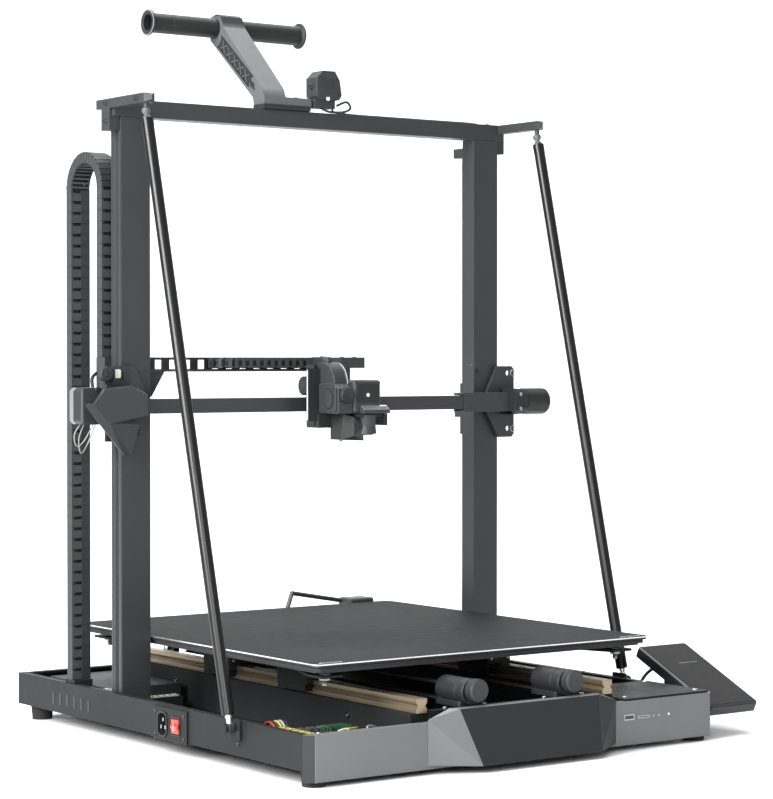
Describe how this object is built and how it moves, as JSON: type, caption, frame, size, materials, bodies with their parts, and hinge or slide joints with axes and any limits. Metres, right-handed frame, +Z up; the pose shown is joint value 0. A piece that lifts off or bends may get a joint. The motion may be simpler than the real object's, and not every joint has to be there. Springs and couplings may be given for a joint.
{
  "type": "moving-bed 3d printer",
  "caption": "Large desktop 3D printer: moving bed on rails, gantry lifted on two braced uprights, sliding print head, tilted touch screen, spool holder and cable chains.",
  "frame": {"origin": "centre of the footprint of the whole part, on the floor plane under the rubber feet", "axes": "+Z up, -Y towards the front panel and the tension knobs, +X towards the side with the touch screen"},
  "size_m": [0.711, 0.6626, 0.8655],
  "materials": {
    "powder_coat": "fine satin powder coat",
    "panel_grey": "satin powder coat",
    "black_plastic": "fine matte texture",
    "gloss_black": "polished",
    "steel": "turned and ground",
    "bronze_rail": "anodised, satin",
    "rubber": "matte",
    "red_plastic": "gloss",
    "board": "solder mask",
    "brass": "turned"
  },
  "bodies": {
    "frame": {"base_pan": "powder_coat", "left_side_wall": "powder_coat", "right_side_wall": "powder_coat", "front_panel": "panel_grey", "front_badge": "powder_coat", "bed_subframe": "powder_coat", "bed_rail_left": "bronze_rail", "bed_rail_right": "bronze_rail", "electronics_cover": "powder_coat", "main_board": "board", "power_supply": "panel_grey", "power_inlet": "black_plastic", "bed_tensioner_left": "black_plastic", "bed_tensioner_right": "black_plastic", "bed_belt_left": "rubber", "bed_belt_right": "rubber", "bed_motor": "black_plastic", "upright_left": "powder_coat", "upright_right": "powder_coat", "top_beam": "powder_coat", "brace_rod_left": "gloss_black", "brace_rod_right": "gloss_black", "spool_arm": "panel_grey", "filament_sensor": "black_plastic", "touch_screen": "gloss_black", "lift_motor_left": "black_plastic", "lift_motor_right": "black_plastic", "lift_chain_rear": "black_plastic"},
    "bed": {"bed_carriage": "powder_coat", "heated_bed": "black_plastic", "build_plate": "powder_coat", "bed_cable_guard": "powder_coat"},
    "gantry": {"gantry_beam": "powder_coat", "carriage_left": "powder_coat", "carriage_right": "powder_coat", "beam_end_fitting": "powder_coat", "beam_motor": "black_plastic", "beam_belt": "rubber", "beam_motor_cover": "panel_grey", "beam_chain_rear": "black_plastic", "lift_chain_front": "black_plastic"},
    "print_head": {"head_carriage": "powder_coat", "extruder_body": "black_plastic", "head_front_cover": "powder_coat", "head_shroud": "black_plastic", "nozzle": "brass", "beam_chain_front": "black_plastic"},
    "drive_shaft": {"bed_drive_shaft": "steel"},
    "lead_screw_left": {"lead_screw_left": "steel"},
    "lead_screw_right": {"lead_screw_right": "steel"},
    "beam_pulley": {"beam_motor_pulley": "steel"},
    "lift_chain_loop": {"lift_chain_bend": "black_plastic"},
    "beam_chain_loop": {"beam_chain_bend": "black_plastic"},
    "bed_knob_left": {"bed_tension_knob_left": "black_plastic"},
    "bed_knob_right": {"bed_tension_knob_right": "black_plastic"},
    "beam_knob": {"beam_tension_knob": "black_plastic"},
    "rocker": {"power_rocker": "red_plastic"},
    "extruder_dial": {"extruder_dial": "black_plastic"},
    "spool_tube": {"spool_tube": "black_plastic"}
  },
  "joints": [
    {"name": "bed_slide", "type": "slide", "parent": "frame", "child": "bed", "axis": [0, 1, 0], "range_m": [-0.225, 0.225]},
    {"name": "gantry_lift", "type": "slide", "parent": "frame", "child": "gantry", "axis": [0, 0, 1], "range_m": [-0.222, 0.244]},
    {"name": "head_slide", "type": "slide", "parent": "gantry", "child": "print_head", "axis": [1, 0, 0], "range_m": [-0.212, 0.212]},
    {"name": "bed_drive_spin", "type": "hinge", "parent": "frame", "child": "drive_shaft", "pos_m": [-0.0095, 0.28875, 0.079], "axis": [1, 0, 0], "range_deg": [-1513, 1513]},
    {"name": "lead_screw_left_spin", "type": "hinge", "parent": "frame", "child": "lead_screw_left", "pos_m": [-0.2555, 0.13775, 0.06], "axis": [0, 0, 1], "range_deg": [-9995, 10985]},
    {"name": "lead_screw_right_spin", "type": "hinge", "parent": "frame", "child": "lead_screw_right", "pos_m": [0.2485, 0.13775, 0.06], "axis": [0, 0, 1], "range_deg": [-9995, 10985]},
    {"name": "beam_pulley_spin", "type": "hinge", "parent": "gantry", "child": "beam_pulley", "pos_m": [-0.314, 0.07175, 0.3865], "axis": [0, 1, 0], "range_deg": [-1965, 1965]},
    {"name": "lift_chain_roll", "type": "slide", "parent": "frame", "child": "lift_chain_loop", "axis": [0, 0, 1], "range_m": [-0.112, 0.123], "deforming": ["lift_chain_rear", "lift_chain_front", "lift_chain_bend"]},
    {"name": "beam_chain_roll", "type": "slide", "parent": "gantry", "child": "beam_chain_loop", "axis": [1, 0, 0], "range_m": [-0.107, 0.107], "deforming": ["beam_chain_rear", "beam_chain_front", "beam_chain_bend"]},
    {"name": "bed_knob_left_turn", "type": "hinge", "parent": "frame", "child": "bed_knob_left", "pos_m": [-0.0765, -0.30425, 0.085], "axis": [0, 1, 0], "range_deg": [-720, 720]},
    {"name": "bed_knob_right_turn", "type": "hinge", "parent": "frame", "child": "bed_knob_right", "pos_m": [0.0575, -0.30425, 0.085], "axis": [0, 1, 0], "range_deg": [-720, 720]},
    {"name": "beam_knob_turn", "type": "hinge", "parent": "gantry", "child": "beam_knob", "pos_m": [0.3075, 0.07175, 0.387], "axis": [1, 0, 0], "range_deg": [-720, 720]},
    {"name": "power_rocker_tilt", "type": "hinge", "parent": "frame", "child": "rocker", "pos_m": [-0.297, -0.04825, 0.0345], "axis": [0, 1, 0], "range_deg": [0, 10]},
    {"name": "extruder_dial_turn", "type": "hinge", "parent": "print_head", "child": "extruder_dial", "pos_m": [-0.0555, 0.05075, 0.409], "axis": [1, 0, 0], "continuous": true},
    {"name": "spool_tube_spin", "type": "hinge", "parent": "frame", "child": "spool_tube", "pos_m": [-0.0765, 0.20175, 0.848], "axis": [1, 0, 0], "continuous": true}
  ],
  "couplings": [
    {"joint": "bed_drive_spin", "follows": "bed_slide", "rad_per_m": -116.96},
    {"joint": "lead_screw_left_spin", "follows": "gantry_lift", "rad_per_m": 785.4},
    {"joint": "lead_screw_right_spin", "follows": "gantry_lift", "rad_per_m": 785.4},
    {"joint": "beam_pulley_spin", "follows": "head_slide", "rad_per_m": 161.29},
    {"joint": "lift_chain_roll", "follows": "gantry_lift", "ratio": 0.5},
    {"joint": "beam_chain_roll", "follows": "head_slide", "ratio": 0.5}
  ]
}
